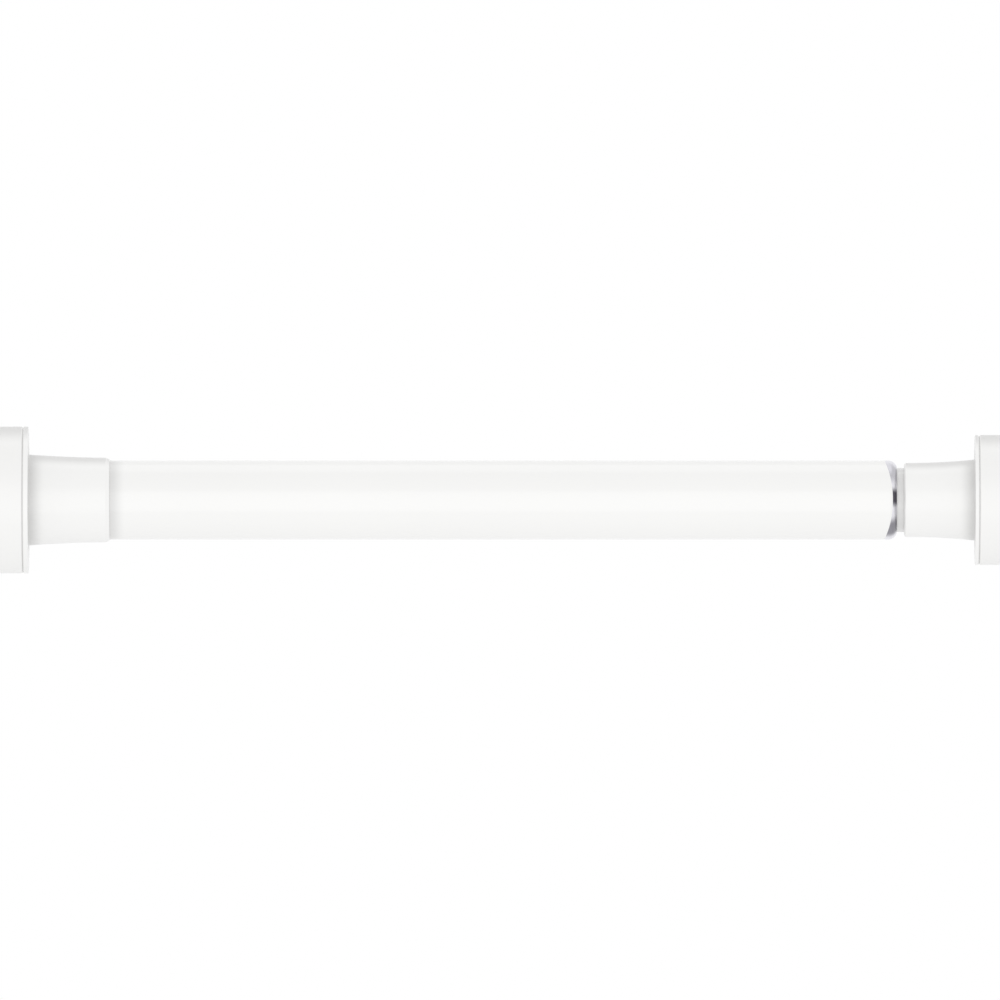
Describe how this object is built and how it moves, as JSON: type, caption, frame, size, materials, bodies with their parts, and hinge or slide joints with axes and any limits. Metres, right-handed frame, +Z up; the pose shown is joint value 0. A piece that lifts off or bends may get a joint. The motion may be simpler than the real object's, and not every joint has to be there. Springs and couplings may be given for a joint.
{
  "type": "spring tension rod",
  "caption": "Telescoping white tension rod with padded round feet, a screw spindle that sets its length and a spring that presses it between two walls.",
  "frame": {"origin": "centre of the left foot's wall face, on the rod's axis", "axes": "+X along the rod towards the thin tube's foot, +Z up"},
  "size_m": [0.2087, 0.0296, 0.0296],
  "materials": {
    "white_coat": "smooth gloss white coat on steel tube",
    "white_plastic": "satin moulded white plastic",
    "white_rubber": "matt white soft rubber",
    "spring_steel": "bright drawn spring wire",
    "nylon": "natural nylon"
  },
  "bodies": {
    "outer_half": {"left_pad": "white_rubber", "left_socket": "white_plastic", "outer_tube": "white_coat", "end_plug": "nylon", "guide_bush": "nylon", "spring": "spring_steel"},
    "screw": {"spindle": "nylon", "stop_clip": "spring_steel"},
    "glide": {"tail_ring": "nylon"},
    "inner_half": {"spindle_nut": "nylon", "inner_tube": "white_coat", "right_socket": "white_plastic", "right_pad": "white_rubber"}
  },
  "joints": [
    {"name": "spring_push", "type": "slide", "parent": "outer_half", "child": "screw", "axis": [1, 0, 0], "range_m": [-0.0012, 0], "stiffness_N_per_m": 1500, "deforming": ["spring"]},
    {"name": "extend", "type": "slide", "parent": "screw", "child": "glide", "axis": [1, 0, 0], "range_m": [0, 0.08]},
    {"name": "twist", "type": "hinge", "parent": "glide", "child": "inner_half", "pos_m": [0.0746, 0, 0], "axis": [1, 0, 0], "range_deg": [0, 3600]}
  ],
  "couplings": [
    {"joint": "extend", "follows": "twist", "m_per_rad": 0.0012732}
  ]
}
